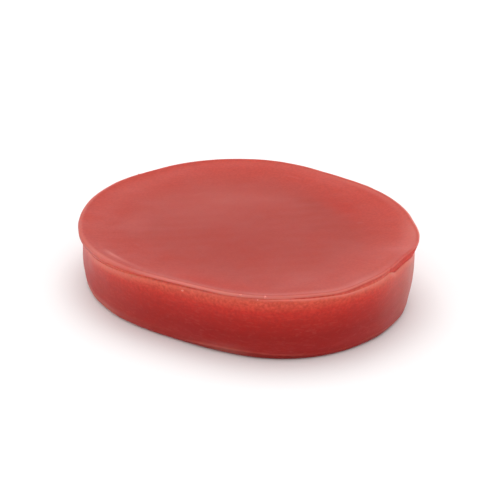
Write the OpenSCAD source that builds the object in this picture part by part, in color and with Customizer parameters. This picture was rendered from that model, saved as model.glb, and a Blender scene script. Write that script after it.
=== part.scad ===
/* [Size] */
// Longest side of the bar, along X
bar_length = 76; // [50:1:110]
// Width of the bar, along Y
bar_width = 72; // [50:1:110]
// Height of the bar at the highest point of its rim
bar_height = 17.2; // [14:0.1:25]

/* [Outline] */
// How far the outline is stretched out of round
oval = 3.5; // [0:0.1:4]
// Direction in which the outline is stretched
oval_angle = -50; // [-90:1:90]
// Strength of the smaller lobes and flats that handling leaves in the outline
waviness = 1; // [0:0.1:1.5]

/* [Top] */
// How far the middle of the top is sunk below the rim
dish_depth = 1.3; // [0:0.1:2]
// How much lower the rim is at the low end than at the high end
rim_fall = 2.6; // [0:0.1:3]
// Radius of the rounded crest of the rim
crest_radius = 0.3; // [0.1:0.05:0.4]

/* [Lip] */
// Average height of the lip, from the crest down to the wall
lip_height = 1.9; // [1.5:0.1:3]
// Average overhang of the lip beyond the wall
lip_overhang = 0.5; // [0.3:0.05:1]
// Depth of the crease between the lip and the wall
crease_depth = 0.25; // [0:0.05:0.5]

/* [Wall] */
// How far the wall leans in from the lip to the base
wall_draft = 1.1; // [0:0.1:2]
// How far the wall swells out between the lip and the base
wall_bulge = 0.3; // [0:0.05:0.6]
// Radius of the rounded edge at the base
base_radius = 1.2; // [0.8:0.1:2]

/* [Smoothness] */
// Number of flat strips around the bar
sectors = 96; // [48:8:120]

/* [Hidden] */

// Smaller lobes of the outline: how many there are, how far they stand out, where the first one points
SMALL_LOBES = [[3, 0.5, -48], [4, 0.55, 12], [5, 0.27, 0]];
// Rings of the dished top, as fractions of the way from the middle to the crest
DISH_RINGS = [0.16, 0.32, 0.48, 0.62, 0.74, 0.84, 0.92, 0.97];
// Depth by which the rounded base edge is cut off flat
base_trim = 0.15;
// Height that the shoulder takes to swell out again below the crease
shoulder_height = 0.6;
wall_steps = 6;
arc_steps = 4;

mean_radius = (bar_length + bar_width) / 4;
angles = [for (i = [0:sectors - 1]) i * 360 / sectors];

// The outline, before it is scaled to the length and the width
function lobes(a) = [for (lobe = SMALL_LOBES) waviness * lobe[1] * cos(lobe[0] * (a - lobe[2]))];
function total(list) = [for (value = list) 1] * list;
function lobed_radius(a) = mean_radius + oval * cos(2 * (a - oval_angle)) + total(lobes(a));
rough = [for (a = angles) lobed_radius(a) * [cos(a), sin(a)]];
rough_x = [for (p = rough) p.x];
rough_y = [for (p = rough) p.y];
rough_size = [max(rough_x) - min(rough_x), max(rough_y) - min(rough_y)];
rough_middle = [max(rough_x) + min(rough_x), max(rough_y) + min(rough_y)] / 2;

// The crest of the rim, centred on the origin and scaled to the length and the width
outline = [for (p = rough)
    [(p.x - rough_middle.x) * bar_length / rough_size.x, (p.y - rough_middle.y) * bar_width / rough_size.y]];

// The lip is tall and overhangs at the two ends of the bar, and is slight at its front and back
function ends(a) = cos(2 * a);
function lip_height_at(a) = lip_height * (1 + 0.45 * ends(a));
function lip_overhang_at(a) = lip_overhang * (1 + 0.75 * ends(a));

// The crest lies in a plane that falls from the high end to the low end
function crest_plane(p) = bar_height - rim_fall * (0.5 - p.x / bar_length);

// A point at a distance inside the outline point p, at the height z
function inside(p, inset, z) = concat(p * (1 - inset / norm(p)), z);
function dish_point(p, t) = concat(p * t, crest_plane(p * t) - dish_depth * (1 - pow(t, 3)));

// Points down the side, from the crest to the cut at the base, for the outline point p at the angle a
function side(p, a) =
    let (
        top = crest_plane(p),
        overhang = lip_overhang_at(a),
        shoulder_z = top - lip_height_at(a) - shoulder_height,
        foot_z = base_radius - base_trim,
        crest = [for (b = [0:90 / arc_steps:90])
            inside(p, crest_radius * (1 - sin(b)), top - crest_radius * (1 - cos(b)))],
        crease = [inside(p, overhang + crease_depth, top - lip_height_at(a))],
        wall = [for (s = [0:1 / wall_steps:1])
            inside(p, overhang + wall_draft * s - wall_bulge * sin(180 * s), shoulder_z + s * (foot_z - shoulder_z))],
        foot = [for (b = [90 / arc_steps:90 / arc_steps:90])
            inside(p, overhang + wall_draft + base_radius * (1 - cos(b)), foot_z - base_radius * sin(b))]
    )
    concat(crest, crease, wall, foot);

// One strip of points for each angle, from near the middle of the top to the base
strips = [for (i = [0:sectors - 1])
    concat([for (t = DISH_RINGS) dish_point(outline[i], t)], side(outline[i], angles[i]))];
strip_length = len(strips[0]);
top_middle = sectors * strip_length;
base_middle = top_middle + 1;

function index(i, j) = (i % sectors) * strip_length + j;
side_faces = [for (i = [0:sectors - 1], j = [0:strip_length - 2], half = [0, 1])
    half == 0
        ? [index(i, j), index(i + 1, j), index(i + 1, j + 1)]
        : [index(i, j), index(i + 1, j + 1), index(i, j + 1)]];
top_faces = [for (i = [0:sectors - 1]) [top_middle, index(i + 1, 0), index(i, 0)]];
base_faces = [for (i = [0:sectors - 1]) [base_middle, index(i, strip_length - 1), index(i + 1, strip_length - 1)]];

module poured_lump() {
    points = concat(
        [for (strip = strips, p = strip) p],
        [[0, 0, crest_plane([0, 0]) - dish_depth]],
        [[0, 0, -base_trim]]
    );
    polyhedron(points, concat(side_faces, top_faces, base_faces));
}

// The bar: one solid lump of clay, cut flat at the base
module clay_bar() {
    color("indianred")
        difference() {
            poured_lump();
            translate([-bar_length, -bar_width, -bar_height])
                cube([2 * bar_length, 2 * bar_width, bar_height]);
        }
}

clay_bar();
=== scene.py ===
"""The looks of the clay bar: one poured lump of red detailing clay on a pale floor."""

import bmesh
import bpy
import numpy as np
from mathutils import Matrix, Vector


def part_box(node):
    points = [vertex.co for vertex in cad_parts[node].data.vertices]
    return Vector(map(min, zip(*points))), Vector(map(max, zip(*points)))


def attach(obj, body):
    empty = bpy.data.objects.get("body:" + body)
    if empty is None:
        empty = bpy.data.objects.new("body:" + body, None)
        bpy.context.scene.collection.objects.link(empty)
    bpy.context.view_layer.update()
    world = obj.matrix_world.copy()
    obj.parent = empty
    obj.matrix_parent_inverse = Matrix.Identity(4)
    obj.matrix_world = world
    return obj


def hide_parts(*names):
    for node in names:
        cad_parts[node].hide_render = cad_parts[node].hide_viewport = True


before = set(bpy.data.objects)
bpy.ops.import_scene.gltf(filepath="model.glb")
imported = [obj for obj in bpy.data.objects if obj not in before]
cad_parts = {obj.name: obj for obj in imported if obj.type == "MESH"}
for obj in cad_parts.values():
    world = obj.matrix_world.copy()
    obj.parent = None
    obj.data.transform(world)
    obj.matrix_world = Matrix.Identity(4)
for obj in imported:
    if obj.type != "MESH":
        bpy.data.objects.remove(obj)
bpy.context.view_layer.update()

# ---------------------------------------------------------------- sizes, in millimetres

MM = 0.001
bar_low, bar_high = (np.array(corner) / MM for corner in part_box("clay_bar"))
LENGTH, WIDTH, HEIGHT = bar_high - bar_low

# The outline: how many lobes, how far they stand out of round, where the first one points
LOBES = ((2, 3.5, -50), (3, 0.5, -48), (4, 0.55, 12), (5, 0.27, 0))
# How much lower the rim is at the left end than at the right end
RIM_FALL = 2.6
# The dish: its depth, and the power of the way out from the middle with which it rises to the rim
DISH_DEPTH = 1.3
DISH_POWER = 3
# The last step up from the dish to the rim: its height and its width
ROLL_DEPTH = 0.10
ROLL_WIDTH = 1.2
# The power of the way out from the middle with which the rises of the rim begin
RISE_POWER = 8
WALL_BULGE = 0.3
FOOT_RADIUS = 1.2

# What the rim is like round the bar: pairs of a direction, in degrees from the right end, and a size in mm
# or a share
RIM = {
    # how far the whole side is drawn out, how far the rim rises, and how far the crest and the lip are
    # pressed out
    "out": (
        (-180, 0.0), (-150, 0.0), (-135, 0.0), (-86, 0.1), (-72, -0.3), (-60, -0.5), (-52, -0.7),
        (-36, -0.4), (-28, -0.1), (0, -0.4), (25, 0.0), (60, -0.2), (90, 0.1), (150, 0.2),
    ),
    "rise": (
        (-180, 0.0), (-150, 0.1), (-110, 0.2), (-86, 0.1), (-62, 0.0), (-52, 0.1), (-45, 0.1), (-36, 0.4),
        (-28, 0.9), (-18, 0.1),
    ),
    "push": (
        (-180, -0.12), (-172, -0.14), (-165, -0.2), (-150, -0.1), (-135, -0.1), (-122, -0.4), (-110, -0.6),
        (-98, -0.5), (-86, -0.5), (-72, -0.5), (-62, 0.5), (-52, 0.0), (-45, 0.0), (-34, -0.8), (-22, 0.1),
        (-12, 0.1), (0, -0.3), (12, 0.05), (26, 0.7), (38, 1.0), (50, 0.7), (62, 0.4), (78, 0.8), (98, 0.8),
        (110, 0.7), (122, 0.1), (134, 0.6), (150, 0.4), (165, 0.0), (174, -0.05),
    ),
    # the width and the drop of the rounded crest, and the height of the lip with it
    "crest": (
        (-180, 1.2), (-150, 1.5), (-135, 1.3), (-120, 0.9), (-72, 0.8), (-56, 0.4), (-44, 0.4), (-38, 0.25),
        (-24, 0.25), (0, 0.7), (90, 0.7), (150, 1.0),
    ),
    "drop": ((-180, 0.4), (-68, 0.4), (-56, 0.2), (-44, 0.2), (-38, 0.1), (-22, 0.1), (-5, 0.4)),
    "lip": (
        (-180, 3.1), (-172, 2.9), (-163, 2.3), (-150, 1.7), (-135, 1.1), (-120, 0.6), (-98, 0.5), (-86, 0.5),
        (-72, 0.6), (-66, 0.65), (-60, 1.15), (-52, 1.2), (-44, 1.35), (-36, 1.0), (-28, 1.35), (-20, 1.9),
        (-10, 2.2), (0, 2.8), (12, 2.7), (25, 1.8), (50, 1.1), (90, 0.8), (150, 1.2),
    ),
    # how far the lip overhangs the wall, and the depth of the crease under it
    "overhang": (
        (-180, 1.25), (-172, 1.3), (-162, 0.8), (-150, 0.5), (-135, 0.3), (-98, 0.15), (-86, 0.05),
        (-72, -0.2), (-52, -0.1), (-42, 0.2), (-30, 0.6), (-10, 0.7), (10, 0.8), (50, 0.3), (90, 0.15),
        (120, 0.2), (150, 0.5),
    ),
    "crease": (
        (-180, 0.35), (-150, 0.25), (-135, 0.14), (-110, 0.12), (-86, 0.06), (-72, 0.1), (-60, 0.06),
        (-52, 0.08), (-46, 0.15), (-40, 0.3), (90, 0.3),
    ),
    # the height over which the shoulder under the crease swells out again
    "shoulder": (
        (-180, 1.9), (-152, 2.1), (-142, 2.4), (-132, 1.8), (-118, 1.3), (-86, 1.0), (-78, 1.0), (-64, 1.4),
        (-44, 1.8), (-30, 2.2), (90, 2.0),
    ),
    # how far the wall draws in towards the base
    "draft": (
        (-180, 0.45), (-170, 0.6), (-160, 1.3), (-150, 1.2), (-120, 1.1), (-75, 1.1), (-50, 1.2), (-44, 1.1),
        (-36, 1.2), (-20, 1.35), (-10, 1.15), (10, 1.2), (90, 1.1),
    ),
    # how much painted shade darkens the lip's face, deeper in colour
    "shade_and_ruddy": (
        (-180, 0.2), (-150, 0.1), (-135, 0.1), (-122, 0.05), (-86, 0.0), (-56, 0.0), (-46, 0.1), (-20, 0.4),
        (0, 0.4), (90, 0.3),
    ),
    # the painted highlight along the crest, and the painted highlight that brightens the shoulder under the
    # lip
    "highlight": (
        (-180, 0.35), (-165, 0.6), (-154, 0.8), (-138, 0.5), (-122, 1.0), (-95, 1.0), (-82, 0.8), (-60, 1.0),
        (-46, 0.9), (-38, 0.4), (-28, 0.3), (-18, 0.5), (-10, 1.0), (0, 1.0), (12, 0.9), (25, 0.7),
        (50, 0.5), (90, 0.25),
    ),
    "shine": (
        (-180, 0.5), (-165, 0.6), (-155, 0.85), (-135, 0.42), (-118, 0.25), (-104, 0.35), (-88, 0.35),
        (-78, 0.75), (-66, 1.0), (-50, 0.7), (-42, 0.85), (-36, 0.7), (0, 0.6), (90, 0.3),
    ),
    # how much painted sheen, a pale grazing reflection, lies on the wall, and how much lighter its foot is,
    # partly painted light against the foot's shade
    "wall_lightening": (
        (-180, 0.15), (-165, 0.17), (-150, 0.15), (-142, 0.12), (-132, 0.06), (-125, 0.03), (-105, 0.04),
        (-90, 0.0), (-60, 0.0), (-50, 0.03), (-36, 0.35), (-28, 0.56), (-15, 0.58), (0, 0.5), (40, 0.1),
        (140, 0.0),
    ),
    "foot_lightening": (
        (-180, 0.5), (-170, 0.6), (-156, 0.5), (-140, 0.15), (-122, 0.06), (-114, 0.04), (-107, 0.12),
        (-100, 0.3), (-94, 0.3), (-88, 0.0), (-30, 0.0), (0, 0.1), (140, 0.1),
    ),
    # painted shade: how dark the outer half of the crest and the lip's face are
    "edge_shade": (
        (-180, 1.0), (-165, 0.6), (-150, 0.15), (-140, 0.0), (-15, 0.0), (0, 0.2), (10, 0.6), (30, 0.6),
        (90, 0.5), (110, 0.9), (135, 0.9), (160, 0.9),
    ),
    # how ruddy the wall and the foot are
    "ruddy": ((-180, 0.1), (-165, 0.25), (-150, 0.3), (-138, 0.2), (-120, 0.1), (-100, 0.0), (160, 0.0)),
    # a fine ridge just above the base, where the foot of the bar is folded under: its share and its height
    "ridge": (
        (-116, 0.0), (-109, 2.0), (-98, 1.2), (-76, 1.0), (-66, 0.4), (-52, 0.3), (-46, 1.0), (-34, 0.8),
        (-28, 0.0), (30, 0.0), (50, 0.7), (90, 0.2), (130, 0.8), (160, 0.0),
    ),
    "ridge_height": (
        (-116, 1.0), (-104, 1.6), (-92, 1.9), (-80, 1.5), (-60, 1.1), (-46, 1.6), (-34, 1.2), (60, 1.4),
        (120, 1.0),
    ),
}
# Small waves that the features have besides: the feature, their height and length in mm, and their seed
RIM_WAVES = (
    ("rise", 0.03, 30, 12),
    ("rise", 0.02, 6, 13),
    ("lip", 0.05, 14, 14),
    ("overhang", 0.03, 12, 15),
    ("crease", 0.03, 9, 16),
    ("shoulder", 0.2, 11, 17),
)
# The power with which the lip's face draws in below the crest: near 1 it slants evenly, and higher it is
# upright at first. Then the places where it is higher: direction, width in degrees, and by how much
FACE_POWER = 1.7
FACE_RISES = ((5, 14, 1.4), (-178, 12, 1.2))
# The ridge above the base: how far it stands out, its half width, how much a painted highlight brightens it,
# and the height over which the painted shade of the fold under it begins
RIDGE_SIZE = 0.12
RIDGE_WIDTH = 0.2
RIDGE_SHINE = 0.18
FOLD_EDGE = 0.4
# The flap of skin that hangs lower than the rest of the lip. In degrees: where it starts, how far round it
# goes, how wide its start is, and how far past the start it drops
FLAP_START = -40.3
FLAP_REACH = 40
FLAP_STEP = (-0.6, 0.6)
FLAP_FALL = (-0.8, 4.0)
# Its drop, how much it stands out, how much more painted shade darkens its face, and how much its face
# slants
FLAP_DROP = 1.4
FLAP_PUSH = 0.25
FLAP_SHADE = 0.45
FLAP_LEAN = 0.6

# Faint patches of painted sheen and painted shade on the top: direction, share of the way to the rim, width
# round the bar in degrees and as a share, and strength, which is below 0 where the patch is painted shade,
# deeper in colour than the clay round it
TOP_SHEEN_AND_SHADE = (
    (-106, 0.92, 22, 0.10, -0.35),
    (-158, 0.74, 26, 0.14, -0.15),
    (118, 0.45, 45, 0.22, 0.16),
    (150, 0.90, 30, 0.10, 0.08),
    (134, 0.66, 22, 0.14, 0.08),
    (-50, 0.80, 26, 0.14, 0.10),
    (-12, 0.95, 12, 0.05, 0.35),
    (38, 0.985, 34, 0.025, 0.45),
    (26, 0.70, 20, 0.09, -0.40),
    (-62, 0.975, 30, 0.025, 0.35),
    (-110, 0.975, 20, 0.02, 0.25),
    (171, 0.68, 16, 0.10, 0.16),
    (81, 0.48, 40, 0.14, 0.10),
    (-40, 0.90, 14, 0.05, 0.14),
    (125, 0.90, 25, 0.06, 0.10),
    (55, 0.92, 20, 0.05, 0.12),
    (-64, 0.62, 25, 0.15, 0.06),
    (-9, 0.985, 9, 0.020, 0.30),
    (85, 0.95, 30, 0.04, 0.12),
    (-155, 0.955, 5, 0.014, 0.6),
    (-146, 0.960, 10, 0.016, 0.3),
    (-163, 0.73, 4, 0.006, 0.2),
    (3, 0.70, 1.0, 0.010, 0.5),
    (118, 0.60, 5, 0.008, 0.1),
    (70, 0.85, 4, 0.006, 0.15),
)
# Painted glow: the top grows warmer and brighter in colour towards the rim, as where light comes through the
# clay,
# most of all in one direction: that direction, the mean and the swing of the glow, and the shares of the way
# to the rim between which it sets in
GLOW_SIDE = 60
GLOW_MEAN = 0.48
GLOW_SWING = 0.37
GLOW_START = 0.55
GLOW_END = 1.05
# The edge of the top takes a little of the crest's painted highlight, from this share of the way to the rim
EDGE_HIGHLIGHT = 0.1
EDGE_START = 0.972
# Marks all over, as a hand and the pour leave them: height and length in mm, and seed
HAND_MARKS = ((0.10, 22, 21), (0.02, 9, 22))
POUR_MARKS = (0.012, 3.2, 23)
# How much of the hand's marks the side has, the shares of the way out over which the marks on the top fade
# before the rim, and the heights over which those on the side set in above the flat base
SIDE_MARKS = 0.5
TOP_FADE = (0.85, 0.99)
BASE_CALM = (0.2, 1.5)

# Crumbs of paler clay: direction, depth below the crest and radius, in mm
CRUMBS = (
    (-92.5, 0.15, 0.26),
    (-84.5, 0.15, 0.28),
    (-86.8, 0.6, 0.14),
    (-113.8, 1.6, 0.28),
    (35, 0.4, 0.2),
    (71, 3.0, 0.22),
    (128, 0.2, 0.2),
    (166, 5.0, 0.16),
)
# A crumb's stretch along X, Y and Z, the height and length of its waves, and how far it is sunk further than
# its middle, all as shares of its radius
CRUMB_STRETCH = (1.1, 0.9, 0.8)
CRUMB_ROUGHNESS = 0.25
CRUMB_WAVES = 1.5
CRUMB_SINK = 0.3
CRUMB_SEED = 40

# The mesh: strips around the bar, and rows along each stretch of a strip
SECTORS = 640
TOP_ROWS = 44
CREST_ROWS = 9
LIP_ROWS = 12
SHOULDER_ROWS = 10
WALL_ROWS = 46
FOOT_ROWS = 12
BASE_ROWS = 8
# The powers that space the rows of the top and of the base
TOP_SPACING = 0.7
BASE_SPACING = 0.8
# Where the flap starts, this many times the even number of strips are added, over this many degrees
FLAP_STRIPS = 5
FLAP_ZONE = 2.5
# The path mark runs from 0 in the middle of the top to this at the crest, and on to 1 at the base
CREST_PATH = 0.4


# ---------------------------------------------------------------- helpers for shapes

def smooth(x, start, end):
    """0 before start, 1 after end, and a smooth step in between."""
    t = np.clip((x - start) / (end - start), 0, 1)
    return t * t * (3 - 2 * t)


def turn(angle, centre):
    """The angle measured from centre, between -180 and 180 degrees."""
    return (angle - centre + 180) % 360 - 180


def bump_at(angle, centre, width):
    """A smooth hump around the bar: 1 at centre, and near 0 one and a half widths away."""
    return np.exp(-(turn(angle, centre) / width) ** 2)


def waves(points, length, seed, count=28):
    """Smooth random values of about -1 to 1 at the points, with waves about length mm long."""
    rng = np.random.default_rng(seed)
    value = np.zeros(points.shape[:-1])
    for _ in range(count):
        direction = rng.normal(size=3)
        direction /= np.linalg.norm(direction)
        pace = 2 * np.pi / (length * rng.uniform(0.6, 1.6))
        value += np.sin(points @ direction * pace + rng.uniform(0, 2 * np.pi))
    return value / np.sqrt(count)


# ---------------------------------------------------------------- the shape of the clay

def outline(angle):
    """The crest of the rim seen from above, scaled to the CAD box."""
    radius = np.full(angle.shape, (LENGTH + WIDTH) / 4)
    for count, height, first in LOBES:
        radius += height * np.cos(np.radians(count * (angle - first)))
    points = radius[:, None] * np.stack([np.cos(np.radians(angle)), np.sin(np.radians(angle))], 1)
    low, high = points.min(0), points.max(0)
    return (points - (low + high) / 2) * (LENGTH, WIDTH) / (high - low)


def strip_angles():
    """The directions of the strips: even, but closer together where the flap starts."""
    even = np.linspace(-180, 180, 3601)
    density = 1 + FLAP_STRIPS * bump_at(even, FLAP_START, FLAP_ZONE)
    total = np.concatenate([[0], np.cumsum((density[1:] + density[:-1]) / 2)])
    return np.interp(np.arange(SECTORS) / SECTORS, total / total[-1], even)


def around(angle, pairs, soften=3.0):
    """The sizes in the pairs, carried smoothly round the bar to each angle."""
    at, sizes = np.array(pairs).T
    shifts = np.linspace(-soften, soften, 9)
    return sum(np.interp(angle + shift, at, sizes, period=360) for shift in shifts) / len(shifts)


def rim_features(angle):
    """What the rim is like all the way round, as one array of sizes for each feature."""
    rim = {name: around(angle, pairs) for name, pairs in RIM.items()}
    ring = np.stack([np.cos(np.radians(angle)), np.sin(np.radians(angle)), 0 * angle], 1) * LENGTH / 2
    past_start = turn(angle, FLAP_START)
    fade = 1 - smooth(past_start, FLAP_REACH * 0.5, FLAP_REACH)
    flap = smooth(past_start, *FLAP_STEP) * fade
    for name, size, length, seed in RIM_WAVES:
        rim[name] += size * waves(ring, length, seed)
    rim["lip"] += FLAP_DROP * smooth(past_start, *FLAP_FALL) * fade
    rim["push"] += FLAP_PUSH * flap
    rim["shade_and_ruddy"] += FLAP_SHADE * flap
    rim["face"] = FACE_POWER - FLAP_LEAN * flap
    for at, width, rise in FACE_RISES:
        rim["face"] += rise * bump_at(angle, at, width)
    return rim


def crest_height(points):
    """Height of the plane that the crest lies in, above each point."""
    return HEIGHT - RIM_FALL * (0.5 - points[..., 0] / LENGTH)


def steps(count, first=False):
    """Even fractions up to 1, without the 0 unless first is set."""
    return np.linspace(0, 1, count + 1)[0 if first else 1:]


def side_rows(rim, height):
    """Inset from the crest, depth below it, and five marks, row by row from the crest to the base.

    The marks are the shares of the painted shade and ruddy colour, the painted crest highlight, the painted
    shoulder highlight, the painted wall sheen with the foot's lightening, and the painted shade of the fold
    and the outer crest. Along each stretch t runs from 0 to 1, and smooth(t, ...) says where on it a mark
    sets in or fades.
    """
    columns = {name: values[:, None] for name, values in rim.items()}
    crest, lip, overhang = columns["crest"], columns["lip"], columns["overhang"]
    crease, shoulder, face = columns["crease"], columns["shoulder"], columns["face"]
    drop, draft, wall_lightening = columns["drop"], columns["draft"], columns["wall_lightening"]
    edge_shade, foot_lightening, ruddy = columns["edge_shade"], columns["foot_lightening"], columns["ruddy"]
    quarter = np.pi / 2

    # the crest: a quarter of an oval, with a painted highlight, and painted shade on its outer half
    t = steps(CREST_ROWS, first=True)[None]
    inset = crest * (1 - np.sin(t * quarter))
    depth = drop * (1 - np.cos(t * quarter))
    highlight = columns["highlight"] * (0.15 + 0.85 * smooth(t, 0.0, 0.4))
    rows = [(inset, depth, 0, highlight, 0, 0, edge_shade * smooth(t, 0.5, 1.0))]

    # the lip's face, down to the bottom of the crease under it, where the painted highlight fades and
    # painted shade sets in
    t = steps(LIP_ROWS)[None]
    inset = (overhang + crease) * t ** face
    depth = drop + (lip - drop) * t
    shade_and_ruddy = columns["shade_and_ruddy"] * smooth(t, 0.0, 0.25)
    highlight = columns["highlight"] * (1 - smooth(t, 0.0, 0.25))
    rows.append((inset, depth, shade_and_ruddy, highlight, 0, 0, edge_shade))

    # the shoulder, which swells out of the crease, with a painted highlight along it and painted sheen
    # growing down it
    t = steps(SHOULDER_ROWS)[None] ** 1.5
    inset = overhang + crease * (1 - np.sin(t * quarter))
    depth = lip + shoulder * (1 - np.cos(t * quarter))
    shade_and_ruddy = columns["shade_and_ruddy"] * (1 - smooth(t, 0.0, 0.1))
    shine = columns["shine"] * smooth(t, 0.0, 0.3) * (1 - smooth(t, 0.25, 1.0))
    rows.append((inset, depth, shade_and_ruddy, 0, shine, wall_lightening * t, 0))

    # the wall, with its painted sheen fading towards the base, a ruddy tone below, and the foot's lightening
    # at the bottom
    t = steps(WALL_ROWS)[None]
    wall_top = lip + shoulder
    wall_end = height[:, None] - FOOT_RADIUS
    inset = overhang + draft * t - WALL_BULGE * np.sin(np.pi * t)
    depth = wall_top + (wall_end - wall_top) * t
    lightening = wall_lightening * (1 - 0.6 * t) + foot_lightening * smooth(t, 0.8, 1.0)
    rows.append((inset, depth, ruddy * smooth(t, 0.1, 0.5), 0, 0, lightening, 0))

    # the rounded foot, with some of the wall's painted sheen and the foot's lightening
    arc = steps(FOOT_ROWS)[None] * quarter
    inset = overhang + draft + FOOT_RADIUS * (1 - np.cos(arc))
    depth = wall_end + FOOT_RADIUS * np.sin(arc)
    rows.append((inset, depth, ruddy, 0, 0, 0.4 * wall_lightening + foot_lightening, 0))

    rows = [np.broadcast_arrays(*row) for row in rows]
    inset, depth, shade_and_ruddy, highlight, shine, lightening, dark = (np.concatenate(parts, 1) for parts in zip(*rows))
    push = columns["push"] * (1 - smooth(depth / lip, 0.4, 1.6))
    to_base = height[:, None] - depth
    ridge_height = columns["ridge_height"]
    ridge = columns["ridge"] * np.exp(-((to_base - ridge_height) / RIDGE_WIDTH) ** 2)
    under_ridge = 1 - smooth(to_base, ridge_height - FOLD_EDGE, ridge_height)
    fold_shade = np.minimum(columns["ridge"], 1) * under_ridge * smooth(to_base, 0.0, FOLD_EDGE)
    inset = inset - columns["out"] - push - RIDGE_SIZE * ridge
    return inset, depth, shade_and_ruddy, highlight, shine + RIDGE_SHINE * ridge, lightening, fold_shade + dark


def top_sheen_and_shade(angle, on_top):
    """How much painted sheen the patches lay on each point of the top, with painted shade where it is below
    0.
    """
    sheen_and_shade = np.zeros(on_top.shape)
    for at, share_out, turn_width, share_width, strength in TOP_SHEEN_AND_SHADE:
        fade = np.exp(-((on_top - share_out) / share_width) ** 2)
        sheen_and_shade += strength * bump_at(angle, at, turn_width)[:, None] * fade
    return sheen_and_shade


def clay_points():
    """The points of the clay: strips that run from near the middle of the top to near that of the base.

    With them come the marks, a share at every point for each thing that the material needs to know.
    """
    angle = strip_angles()
    rim_points = outline(angle)
    rim = rim_features(angle)
    height = crest_height(rim_points) + rim["rise"]
    reach = np.linalg.norm(rim_points, axis=1)[:, None]
    inset, depth, shade_and_ruddy, highlight, shine, wall_lightening, fold_shade = side_rows(rim, height)

    share = 1 - inset / reach
    side_z = height[:, None] - depth
    side = np.concatenate([rim_points[:, None] * share[..., None], side_z[..., None]], 2)

    t = steps(TOP_ROWS)[:-1] ** TOP_SPACING
    edge = 1 - (rim["crest"] - rim["push"] - rim["out"])[:, None] / reach
    across = rim_points[:, None] * (edge * t)[..., None]
    roll = 1 - np.exp(-(1 - t) * reach / ROLL_WIDTH)
    sink = DISH_DEPTH * (1 - t ** DISH_POWER) + ROLL_DEPTH * roll
    top_z = crest_height(across) - sink + rim["rise"][:, None] * t ** RISE_POWER
    top = np.concatenate([across, top_z[..., None]], 2)

    down = (1 - steps(BASE_ROWS)[:-1]) ** BASE_SPACING
    under = side[:, -1:, :] * (down[None, :, None] * (1, 1, 0))

    on_top = np.broadcast_to(t, top_z.shape)
    on_side = np.ones(depth.shape)
    on_base = np.ones(under.shape[:2])
    off_top = np.zeros(on_top.shape)
    off_base = np.zeros(on_base.shape)
    sheen_and_shade = top_sheen_and_shade(angle, on_top)
    # a little of the crest's painted highlight at the edge of the top
    edge_highlight = EDGE_HIGHLIGHT * rim["highlight"][:, None] * smooth(on_top, EDGE_START, 1.0)
    # painted glow towards the rim of the top, strongest on one side
    glow_strength = GLOW_MEAN + GLOW_SWING * np.cos(np.radians(angle - GLOW_SIDE))
    glow = smooth(on_top, GLOW_START, GLOW_END) * glow_strength[:, None]
    glow_lip = glow[:, -1:] * (1 - smooth(depth / rim["lip"][:, None], 0.1, 0.6))
    side_path = CREST_PATH + (1 - CREST_PATH) * depth / height[:, None]
    marks = {
        "path": (CREST_PATH * on_top, side_path, on_base),
        "shade_and_ruddy": (np.maximum(-sheen_and_shade, 0), shade_and_ruddy, off_base),
        "highlight": (np.maximum(sheen_and_shade, edge_highlight), highlight, off_base),
        "shine": (off_top, shine, off_base),
        "wall_lightening": (off_top, wall_lightening, off_base),
        "fold_shade": (off_top, fold_shade, off_base),
        "glow": (glow, glow_lip, off_base),
        "side": (off_top, on_side, on_base),
    }
    marks = {name: np.concatenate(parts, 1) for name, parts in marks.items()}
    return np.concatenate([top, side, under], 1), marks


def add_hand_marks(points):
    """Soft waves all over, as a hand leaves them, and finer ones that the pour leaves."""
    radial = points * (1, 1, 0)
    radial /= np.maximum(np.linalg.norm(radial, axis=2, keepdims=True), 1e-6)
    top_end = TOP_ROWS - 1
    base_start = points.shape[1] - BASE_ROWS + 1
    row = np.arange(points.shape[1])
    on_top = (row < top_end)[None]
    on_side = ((row >= top_end) & (row < base_start))[None]
    broad = sum(size * waves(points, length, seed) for size, length, seed in HAND_MARKS)
    size, length, seed = POUR_MARKS
    fine = size * waves(points, length, seed)
    to_rim = np.linalg.norm(points[..., :2], axis=2)
    to_rim = to_rim / to_rim.max(1, keepdims=True)
    lift = np.where(on_top, (broad + fine) * (1 - smooth(to_rim, *TOP_FADE)), 0)
    push = np.where(on_side, broad * SIDE_MARKS + fine, 0)
    calm = smooth(points[..., 2], *BASE_CALM)
    points = points + radial * (push * calm)[..., None]
    points[..., 2] += lift
    return points


def fit_to_box(points):
    """Scales the points so that they fill the CAD box exactly."""
    low = points.reshape(-1, 3).min(0)
    high = points.reshape(-1, 3).max(0)
    return bar_low + (points - low) * (bar_high - bar_low) / (high - low)


def grid_faces(strips, rows):
    """Quads between neighbouring strips, and fans of triangles that close the top and the base."""
    top, base = strips * rows, strips * rows + 1
    faces = []
    for i in range(strips):
        here, there = i * rows, (i + 1) % strips * rows
        faces.append((top, here, there))
        faces += [(here + j, here + j + 1, there + j + 1, there + j) for j in range(rows - 1)]
        faces.append((base, there + rows - 1, here + rows - 1))
    return faces


def new_object(name, vertices, faces, material):
    """A smooth-shaded mesh object, from vertices in millimetres."""
    mesh = bpy.data.meshes.new(name)
    mesh.from_pydata((np.asarray(vertices) * MM).tolist(), [], faces)
    mesh.polygons.foreach_set("use_smooth", [True] * len(mesh.polygons))
    mesh.materials.append(material)
    mesh.update()
    piece = bpy.data.objects.new(name, mesh)
    bpy.context.scene.collection.objects.link(piece)
    return piece


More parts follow.
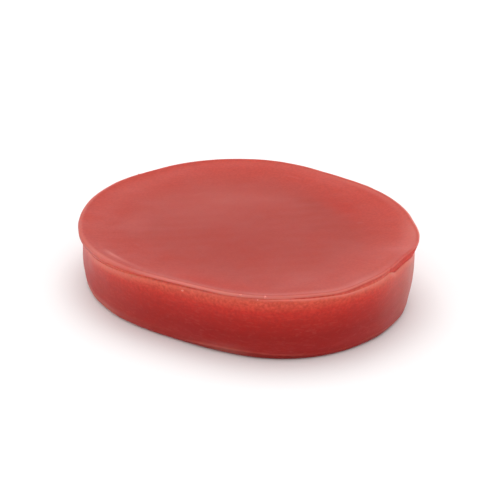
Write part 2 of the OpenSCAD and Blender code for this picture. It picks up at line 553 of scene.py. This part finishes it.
def make_clay(material):
    """The bar itself, and how many rows of points each of its strips has."""
    points, marks = clay_points()
    points = fit_to_box(add_hand_marks(points))
    strips, rows = points.shape[:2]
    centres = [points[:, 0].mean(0), points[:, -1].mean(0)]
    vertices = np.concatenate([points.reshape(-1, 3), centres])
    piece = new_object("clay", vertices, grid_faces(strips, rows), material)
    for name, values in marks.items():
        attribute = piece.data.attributes.new(name, "FLOAT", "POINT")
        attribute.data.foreach_set("value", np.append(values.ravel(), values[0, [0, -1]]))
    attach(piece, "root")
    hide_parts("clay_bar")
    return piece, rows


def make_crumbs(clay, rows, material):
    """Crumbs of paler clay, a little more than half sunk into the bar where they lie."""
    strips = strip_angles()
    points = np.array([vertex.co for vertex in clay.data.vertices])[:-2].reshape(SECTORS, rows, 3) / MM
    side = points[:, TOP_ROWS - 1:rows - BASE_ROWS]
    vertices, faces = [], []
    for number, (at, depth, size) in enumerate(CRUMBS):
        strip = side[np.argmin(np.abs(turn(strips, at)))]
        centre = strip[np.argmin(np.abs(strip[:, 2] - (strip[0, 2] - depth)))]
        lump = bmesh.new()
        bmesh.ops.create_icosphere(lump, subdivisions=3, radius=1)
        shape = np.array([vertex.co for vertex in lump.verts])
        rough = 1 + CRUMB_ROUGHNESS * waves(shape, CRUMB_WAVES, CRUMB_SEED + number)
        shape *= (size * rough)[:, None] * CRUMB_STRETCH
        faces += [tuple(len(vertices) + vertex.index for vertex in face.verts) for face in lump.faces]
        vertices += list(shape + centre * (1 - CRUMB_SINK * size / np.linalg.norm(centre)))
        lump.free()
    vertices = np.clip(vertices, bar_low, bar_high)
    piece = new_object("crumbs", vertices, faces, material)
    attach(piece, "root")


# ---------------------------------------------------------------- materials

# The clay's colour along the path mark, as red, green and blue: the top, the rim, the wall and the base.
# Past the top it holds painted light: a painted glow on the crest and the top of the wall, as where light
# comes through the clay, and painted shade that darkens the wall towards the base
CLAY_AND_PAINTED_LIGHT_COLOURS = (
    (0.0, (0.348, 0.0235, 0.0110)),
    (0.25, (0.355, 0.0250, 0.0118)),
    (0.40, (0.39, 0.0350, 0.0212)),
    (0.42, (0.64, 0.085, 0.060)),
    (0.45, (0.77, 0.125, 0.072)),
    (0.54, (0.635, 0.033, 0.019)),
    (0.64, (0.455, 0.011, 0.006)),
    (0.78, (0.325, 0.004, 0.003)),
    (0.90, (0.36, 0.014, 0.013)),
    (1.0, (0.31, 0.013, 0.012)),
)
# The colours that are laid over it: painted glow, painted shade, clouds, flecks and streaks, painted sheen
# and painted highlights
GLOW_COLOUR = (0.56, 0.043, 0.020, 1)
SHADE_TOP = (0.47, 0.019, 0.008, 1)
SHADE_AND_RUDDY_SIDE = (0.56, 0.018, 0.010, 1)
FOLD_SHADE = (0.16, 0.007, 0.005, 1)
CLOUD = (0.48, 0.060, 0.040, 1)
FLECK = (0.31, 0.015, 0.011, 1)
DARK_STREAK = (0.26, 0.008, 0.007, 1)
LIGHT_STREAK = (0.62, 0.140, 0.110, 1)
WALL_LIGHTENING = (0.52, 0.175, 0.140, 1)
SHINE = (0.74, 0.220, 0.165, 1)
HIGHLIGHT = (0.60, 0.168, 0.136, 1)


class Nodes:
    """Short calls for building a material's nodes."""

    # where a Mix node keeps its two colours and its result
    FIRST_COLOUR = 6
    SECOND_COLOUR = 7
    MIXED_COLOUR = 2

    def __init__(self, name):
        self.material = bpy.data.materials.new(name)
        self.material.use_nodes = True
        self.tree = self.material.node_tree
        self.shader = self.tree.nodes["Principled BSDF"]

    def link(self, value, socket):
        """Joins value to the socket, or sets the socket to it where value is a number or a colour."""
        if isinstance(value, bpy.types.NodeSocket):
            self.tree.links.new(value, socket)
        else:
            socket.default_value = value

    def add(self, kind, **inputs):
        """A new node, with its named inputs linked or set."""
        node = self.tree.nodes.new(kind)
        for name, value in inputs.items():
            self.link(value, node.inputs[name.replace("_", " ")])
        return node

    def mark(self, name):
        """One of the clay mesh's own marks, such as how far along its strip a point is."""
        node = self.tree.nodes.new("ShaderNodeAttribute")
        node.attribute_name = name
        return node.outputs["Fac"]

    def place(self, scale):
        """Object coordinates, in millimetres times scale."""
        coordinates = self.tree.nodes.new("ShaderNodeTexCoord").outputs["Object"]
        mapping = self.add("ShaderNodeMapping", Vector=coordinates)
        mapping.inputs["Scale"].default_value = np.array(scale) / MM
        return mapping.outputs["Vector"]

    def noise(self, scale, detail=2.0, roughness=0.5, distortion=0.0):
        """Noise with about scale lumps in each millimetre along X, Y and Z."""
        node = self.add("ShaderNodeTexNoise", Vector=self.place(scale), Scale=1.0, Detail=detail,
                        Roughness=roughness, Distortion=distortion)
        return node.outputs["Fac"]

    def spread(self, value, low, high, to_low, to_high):
        """value, moved from the range low to high into the range to_low to to_high."""
        node = self.add("ShaderNodeMapRange", Value=value)
        for name, number in (("From Min", low), ("From Max", high), ("To Min", to_low), ("To Max", to_high)):
            node.inputs[name].default_value = number
        return node.outputs["Result"]

    def mix(self, share, first, second):
        """The first colour, with share of the second one laid over it."""
        node = self.tree.nodes.new("ShaderNodeMix")
        node.data_type = "RGBA"
        self.link(share, node.inputs["Factor"])
        self.link(first, node.inputs[self.FIRST_COLOUR])
        self.link(second, node.inputs[self.SECOND_COLOUR])
        return node.outputs[self.MIXED_COLOUR]

    def maths(self, operation, first, second):
        """The result of an operation such as ADD or MULTIPLY."""
        node = self.tree.nodes.new("ShaderNodeMath")
        node.operation = operation
        self.link(first, node.inputs[0])
        self.link(second, node.inputs[1])
        return node.outputs[0]

    def ramp(self, value, stops):
        """A colour for value, blended between the (position, colour) stops."""
        node = self.add("ShaderNodeValToRGB", Fac=value)
        elements = node.color_ramp.elements
        for place, (position, colour) in enumerate(stops):
            element = elements[place] if place < 2 else elements.new(position)
            element.position = position
            element.color = (*colour, 1)
        return node.outputs["Color"]

    def bump(self, height, distance_mm, strength, below=None):
        """Bumps up to distance_mm high, on top of those below."""
        node = self.add("ShaderNodeBump", Height=height, Strength=strength)
        node.inputs["Distance"].default_value = distance_mm * MM
        if below is not None:
            self.link(below, node.inputs["Normal"])
        return node.outputs["Normal"]


def clay_colour(n, streaks):
    """The clay's colour: by place, with painted glow and shade, then clouds, flecks and streaks, then the
    painted sheen, shoulder highlight and crest highlight.
    """
    # painted glow on the crest and the top of the wall, and painted shade darkening the wall towards the
    # base
    colour = n.ramp(n.mark("path"), CLAY_AND_PAINTED_LIGHT_COLOURS)
    # painted glow towards the rim of the top and down the lip, as where light comes through the clay
    colour = n.mix(n.mark("glow"), colour, GLOW_COLOUR)
    # painted shade on the lip's face and in the darker patches of the top, and the ruddy tone of the wall
    colour = n.mix(n.mark("shade_and_ruddy"), colour, n.mix(n.mark("side"), SHADE_TOP, SHADE_AND_RUDDY_SIDE))
    # painted shade in the fold under the ridge and on the outer crest and the lip's face
    colour = n.mix(n.maths("MULTIPLY", n.mark("fold_shade"), 0.6), colour, FOLD_SHADE)
    cloud = n.spread(n.noise((0.06, 0.06, 0.06), detail=3), 0.35, 0.65, 0.0, 0.12)
    colour = n.mix(cloud, colour, CLOUD)
    fleck = n.spread(n.noise((1.6, 1.6, 1.6), detail=4), 0.35, 0.7, 0.0, 0.45)
    colour = n.mix(fleck, colour, FLECK)
    dark_share = n.maths("MULTIPLY", n.spread(streaks, 0.38, 0.55, 0.12, 0.0), n.mark("side"))
    colour = n.mix(dark_share, colour, DARK_STREAK)
    light_share = n.maths("MULTIPLY", n.spread(streaks, 0.52, 0.70, 0.0, 0.12), n.mark("side"))
    colour = n.mix(light_share, colour, LIGHT_STREAK)
    # painted sheen on the wall and the foot's lightening, painted highlight on the shoulder, and painted
    # highlight on the crest and top
    for mark, tone in (("wall_lightening", WALL_LIGHTENING), ("shine", SHINE), ("highlight", HIGHLIGHT)):
        colour = n.mix(n.mark(mark), colour, tone)
    return colour


def clay_material():
    """Red clay: slightly translucent, satin and finely grained, with painted glow, highlights and sheen
    along its rim and wall, and painted shade that darkens it towards the base.
    """
    n = Nodes("red_clay")
    streaks = n.noise((0.55, 0.55, 1.5), detail=4, roughness=0.6, distortion=0.8)
    n.link(clay_colour(n, streaks), n.shader.inputs["Base Color"])

    rough = n.spread(n.noise((0.12, 0.12, 0.12), detail=4), 0.3, 0.7, 0.38, 0.48)
    rough = n.maths("ADD", rough, n.maths("MULTIPLY", n.mark("shade_and_ruddy"), 0.3))
    n.link(rough, n.shader.inputs["Roughness"])

    grain = n.bump(n.noise((3.0, 3.0, 3.0), detail=3), 0.03, 0.5)
    drag = n.bump(n.maths("MULTIPLY", streaks, n.mark("side")), 0.08, 0.6, below=grain)
    n.link(drag, n.shader.inputs["Normal"])

    n.shader.inputs["IOR"].default_value = 1.45
    n.shader.inputs["Specular IOR Level"].default_value = 0.2
    n.shader.inputs["Subsurface Weight"].default_value = 1.0
    n.shader.inputs["Subsurface Radius"].default_value = (1.0, 0.15, 0.08)
    n.shader.inputs["Subsurface Scale"].default_value = 0.5 * MM
    return n.material


def crumb_material():
    """Paler, drier clay than the bar's."""
    n = Nodes("pale_crumb")
    patch = n.spread(n.noise((4.0, 4.0, 4.0)), 0.3, 0.7, 0, 1)
    n.link(n.mix(patch, (0.80, 0.30, 0.25, 1), (0.75, 0.20, 0.15, 1)), n.shader.inputs["Base Color"])
    n.link(n.spread(n.noise((6.0, 6.0, 6.0)), 0.3, 0.7, 0.5, 0.7), n.shader.inputs["Roughness"])
    n.link(n.bump(n.noise((8.0, 8.0, 8.0)), 0.02, 0.5), n.shader.inputs["Normal"])
    n.shader.inputs["Subsurface Weight"].default_value = 0.5
    n.shader.inputs["Subsurface Radius"].default_value = (1.0, 0.3, 0.2)
    n.shader.inputs["Subsurface Scale"].default_value = 0.3 * MM
    return n.material


def floor_material():
    """A plain matt off-white, with the faintest clouds."""
    n = Nodes("pale_floor")
    cloud = n.spread(n.noise((0.004, 0.004, 0.004)), 0.3, 0.7, 0, 1)
    tone = n.mix(cloud, (0.90, 0.90, 0.90, 1), (0.95, 0.95, 0.95, 1))
    n.link(tone, n.shader.inputs["Base Color"])
    n.shader.inputs["Roughness"].default_value = 0.9
    n.shader.inputs["Specular IOR Level"].default_value = 0.1
    return n.material


# ---------------------------------------------------------------- floor, lights and camera

# The floor reaches this far each way, in mm
FLOOR_REACH = 3000
# The camera looks down at this angle, in degrees, at a place this far from the bar's middle, in mm, and from
# this far away, in metres
CAMERA_ELEVATION = 26.6
CAMERA_AIM = (0.65, 0.3, 0.13)
CAMERA_DISTANCE = 0.54
CAMERA_LENS = 173.2
CAMERA_SENSOR = 36


def make_floor():
    """A level floor under the bar."""
    reach = FLOOR_REACH
    corners = [(-reach, -reach, 0), (reach, -reach, 0), (reach, reach, 0), (-reach, reach, 0)]
    floor = new_object("floor", corners, [(0, 1, 2, 3)], floor_material())


def softbox(name, place, aim, size, power):
    """A rectangular light at place, turned towards aim, all in metres and watts."""
    light = bpy.data.lights.new(name, "AREA")
    light.shape = "RECTANGLE"
    light.size, light.size_y = size
    light.energy = power
    lamp = bpy.data.objects.new(name, light)
    lamp.location = place
    lamp.rotation_euler = (Vector(aim) - Vector(place)).to_track_quat("-Z", "Y").to_euler()
    bpy.context.scene.collection.objects.link(lamp)


def make_lights():
    """A softbox overhead, a dimmer one behind, and white light from all round."""
    softbox("overhead", (0.0, 0.25, 0.80), (0, 0, 0), (0.7, 0.7), 2.8)
    softbox("behind", (0.0, 0.90, 0.24), (0, 0, 0), (1.2, 0.4), 0.8)
    world = bpy.data.worlds.new("studio")
    world.use_nodes = True
    world.node_tree.nodes["Background"].inputs["Color"].default_value = (1, 1, 1, 1)
    world.node_tree.nodes["Background"].inputs["Strength"].default_value = 0.9
    bpy.context.scene.world = world


def make_camera():
    """The photograph's view: from the front and well above the table, at about arm's length."""
    elevation = np.radians(CAMERA_ELEVATION)
    across, along, up = CAMERA_AIM
    aim = Vector((across, along, HEIGHT / 2 + up)) * MM
    back = Vector((0, -np.cos(elevation), np.sin(elevation)))
    camera = bpy.data.objects.new("camera", bpy.data.cameras.new("camera"))
    camera.data.lens = CAMERA_LENS
    camera.data.sensor_width = CAMERA_SENSOR
    camera.location = aim + back * CAMERA_DISTANCE
    camera.rotation_euler = (-back).to_track_quat("-Z", "Y").to_euler()
    bpy.context.scene.collection.objects.link(camera)
    bpy.context.scene.camera = camera


make_camera()
make_lights()
make_floor()
clay, clay_rows = make_clay(clay_material())
make_crumbs(clay, clay_rows, crumb_material())
bpy.context.scene.view_settings.view_transform = "Standard"
